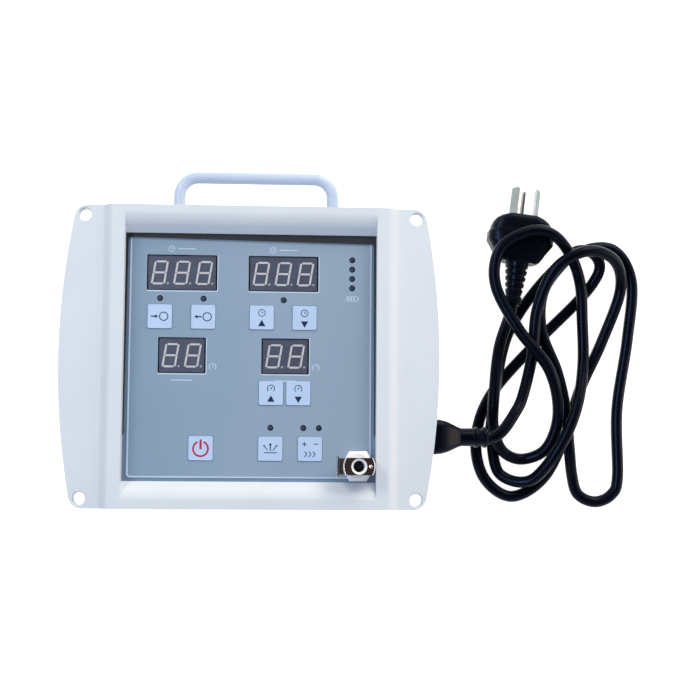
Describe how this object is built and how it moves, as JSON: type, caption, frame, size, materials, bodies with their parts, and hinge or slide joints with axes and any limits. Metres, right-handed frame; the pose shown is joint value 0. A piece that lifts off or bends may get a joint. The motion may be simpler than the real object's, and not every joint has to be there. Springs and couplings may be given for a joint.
{
  "type": "pneumatic tourniquet system",
  "caption": "Automatic pneumatic tourniquet control unit with keypad panel, numeric displays, carry handle, cuff hose coupling and coiled mains lead.",
  "frame": {"origin": "middle of the outer face of the rear cover, which lies on the surface at Z = 0", "axes": "+Z out of the front panel towards the operator, +X to the right of the panel, +Y to the side that carries the handle. In use the unit stands on the feet of its -Y side or is fixed through its four corner holes."},
  "size_m": [0.3459, 0.1981, 0.0994],
  "materials": {
    "bezel": "satin, fine texture",
    "case": "satin paint",
    "steel": "bright",
    "rubber": "matt",
    "handle": "satin",
    "panel": "satin",
    "film": "matt printed film",
    "board": "solder mask",
    "display": "smoked face",
    "key": "satin",
    "black": "matt",
    "lamp": "clear dark lens",
    "chrome": "polished",
    "cable": "satin",
    "pins": "nickel",
    "tape": "wound and taped",
    "white": "matt",
    "cell_wrap": "shrink wrap",
    "aluminium": "machined",
    "brass": "turned",
    "silicone": "translucent hose",
    "ribbon": "flat cable"
  },
  "bodies": {
    "unit": {"front_bezel": "bezel", "case_shell": "case", "rear_cover": "case", "case_screws": "steel", "base_feet": "rubber", "wall_screws": "steel", "carry_handle": "handle", "front_panel": "panel", "panel_film": "film", "panel_seal": "rubber", "panel_screws": "steel", "display_board": "board", "board_posts": "aluminium", "board_screws": "steel", "key_switches": "black", "indicator_lamps": "lamp", "elapsed_time_display": "display", "set_time_display": "display", "measured_pressure_display": "display", "set_pressure_display": "display", "buzzer": "black", "coupling_body": "chrome", "coupling_barb": "chrome", "coupling_nut": "chrome", "latch_spring": "steel", "poppet_spring": "steel", "power_inlet": "black", "inlet_screws": "steel", "power_connector": "cable", "power_cord": "cable", "plug_body": "cable", "plug_pins": "pins", "supply_board": "board", "supply_transformer": "tape", "main_board": "board", "pressure_sensor": "white", "battery_pack": "cell_wrap", "battery_bracket": "aluminium", "pump_motor": "steel", "pump_head": "black", "pump_cradle": "aluminium", "valve_manifold": "aluminium", "valve_coils": "tape", "air_tubes": "silicone", "ribbon_cable": "ribbon"},
    "key_inflate": {"key_inflate": "key"},
    "key_deflate": {"key_deflate": "key"},
    "key_time_up": {"key_time_up": "key"},
    "key_time_down": {"key_time_down": "key"},
    "key_pressure_up": {"key_pressure_up": "key"},
    "key_pressure_down": {"key_pressure_down": "key"},
    "key_power": {"key_power": "key"},
    "key_relieve": {"key_relieve": "key"},
    "key_speed": {"key_speed": "key"},
    "latch": {"coupling_latch": "chrome"},
    "trip_pin": {"trip_pin": "chrome"},
    "poppet": {"valve_poppet": "brass"},
    "pump_crank": {"pump_crank": "brass"},
    "inflate_plunger": {"inflate_plunger": "steel"},
    "release_plunger": {"release_plunger": "steel"}
  },
  "joints": [
    {"name": "key_inflate_press", "type": "slide", "parent": "unit", "child": "key_inflate", "axis": [0, 0, -1], "range_m": [0, 0.0005], "stiffness_N_per_m": 2000, "springref_m": -0.0002},
    {"name": "key_deflate_press", "type": "slide", "parent": "unit", "child": "key_deflate", "axis": [0, 0, -1], "range_m": [0, 0.0005], "stiffness_N_per_m": 2000, "springref_m": -0.0002},
    {"name": "key_time_up_press", "type": "slide", "parent": "unit", "child": "key_time_up", "axis": [0, 0, -1], "range_m": [0, 0.0005], "stiffness_N_per_m": 2000, "springref_m": -0.0002},
    {"name": "key_time_down_press", "type": "slide", "parent": "unit", "child": "key_time_down", "axis": [0, 0, -1], "range_m": [0, 0.0005], "stiffness_N_per_m": 2000, "springref_m": -0.0002},
    {"name": "key_pressure_up_press", "type": "slide", "parent": "unit", "child": "key_pressure_up", "axis": [0, 0, -1], "range_m": [0, 0.0005], "stiffness_N_per_m": 2000, "springref_m": -0.0002},
    {"name": "key_pressure_down_press", "type": "slide", "parent": "unit", "child": "key_pressure_down", "axis": [0, 0, -1], "range_m": [0, 0.0005], "stiffness_N_per_m": 2000, "springref_m": -0.0002},
    {"name": "key_power_press", "type": "slide", "parent": "unit", "child": "key_power", "axis": [0, 0, -1], "range_m": [0, 0.0005], "stiffness_N_per_m": 2000, "springref_m": -0.0002},
    {"name": "key_relieve_press", "type": "slide", "parent": "unit", "child": "key_relieve", "axis": [0, 0, -1], "range_m": [0, 0.0005], "stiffness_N_per_m": 2000, "springref_m": -0.0002},
    {"name": "key_speed_press", "type": "slide", "parent": "unit", "child": "key_speed", "axis": [0, 0, -1], "range_m": [0, 0.0005], "stiffness_N_per_m": 2000, "springref_m": -0.0002},
    {"name": "latch_push", "type": "slide", "parent": "unit", "child": "latch", "axis": [1, 0, 0], "range_m": [0, 0.002], "stiffness_N_per_m": 800, "springref_m": -0.001, "deforming": ["latch_spring"]},
    {"name": "trip_pin_press", "type": "slide", "parent": "unit", "child": "trip_pin", "axis": [0, 0, -1], "range_m": [0, 0.0015], "stiffness_N_per_m": 400, "springref_m": -0.0005},
    {"name": "poppet_open", "type": "slide", "parent": "unit", "child": "poppet", "axis": [0, 0, -1], "range_m": [0, 0.003], "stiffness_N_per_m": 500, "springref_m": -0.002, "deforming": ["poppet_spring"]},
    {"name": "pump_spin", "type": "hinge", "parent": "unit", "child": "pump_crank", "pos_m": [-0.046, 0.03, 0.02], "axis": [1, 0, 0], "continuous": true},
    {"name": "inflate_valve_lift", "type": "slide", "parent": "unit", "child": "inflate_plunger", "axis": [0, 0, 1], "range_m": [0, 0.0015], "stiffness_N_per_m": 300, "springref_m": -0.001},
    {"name": "release_valve_lift", "type": "slide", "parent": "unit", "child": "release_plunger", "axis": [0, 0, 1], "range_m": [0, 0.0015], "stiffness_N_per_m": 300, "springref_m": -0.001}
  ]
}
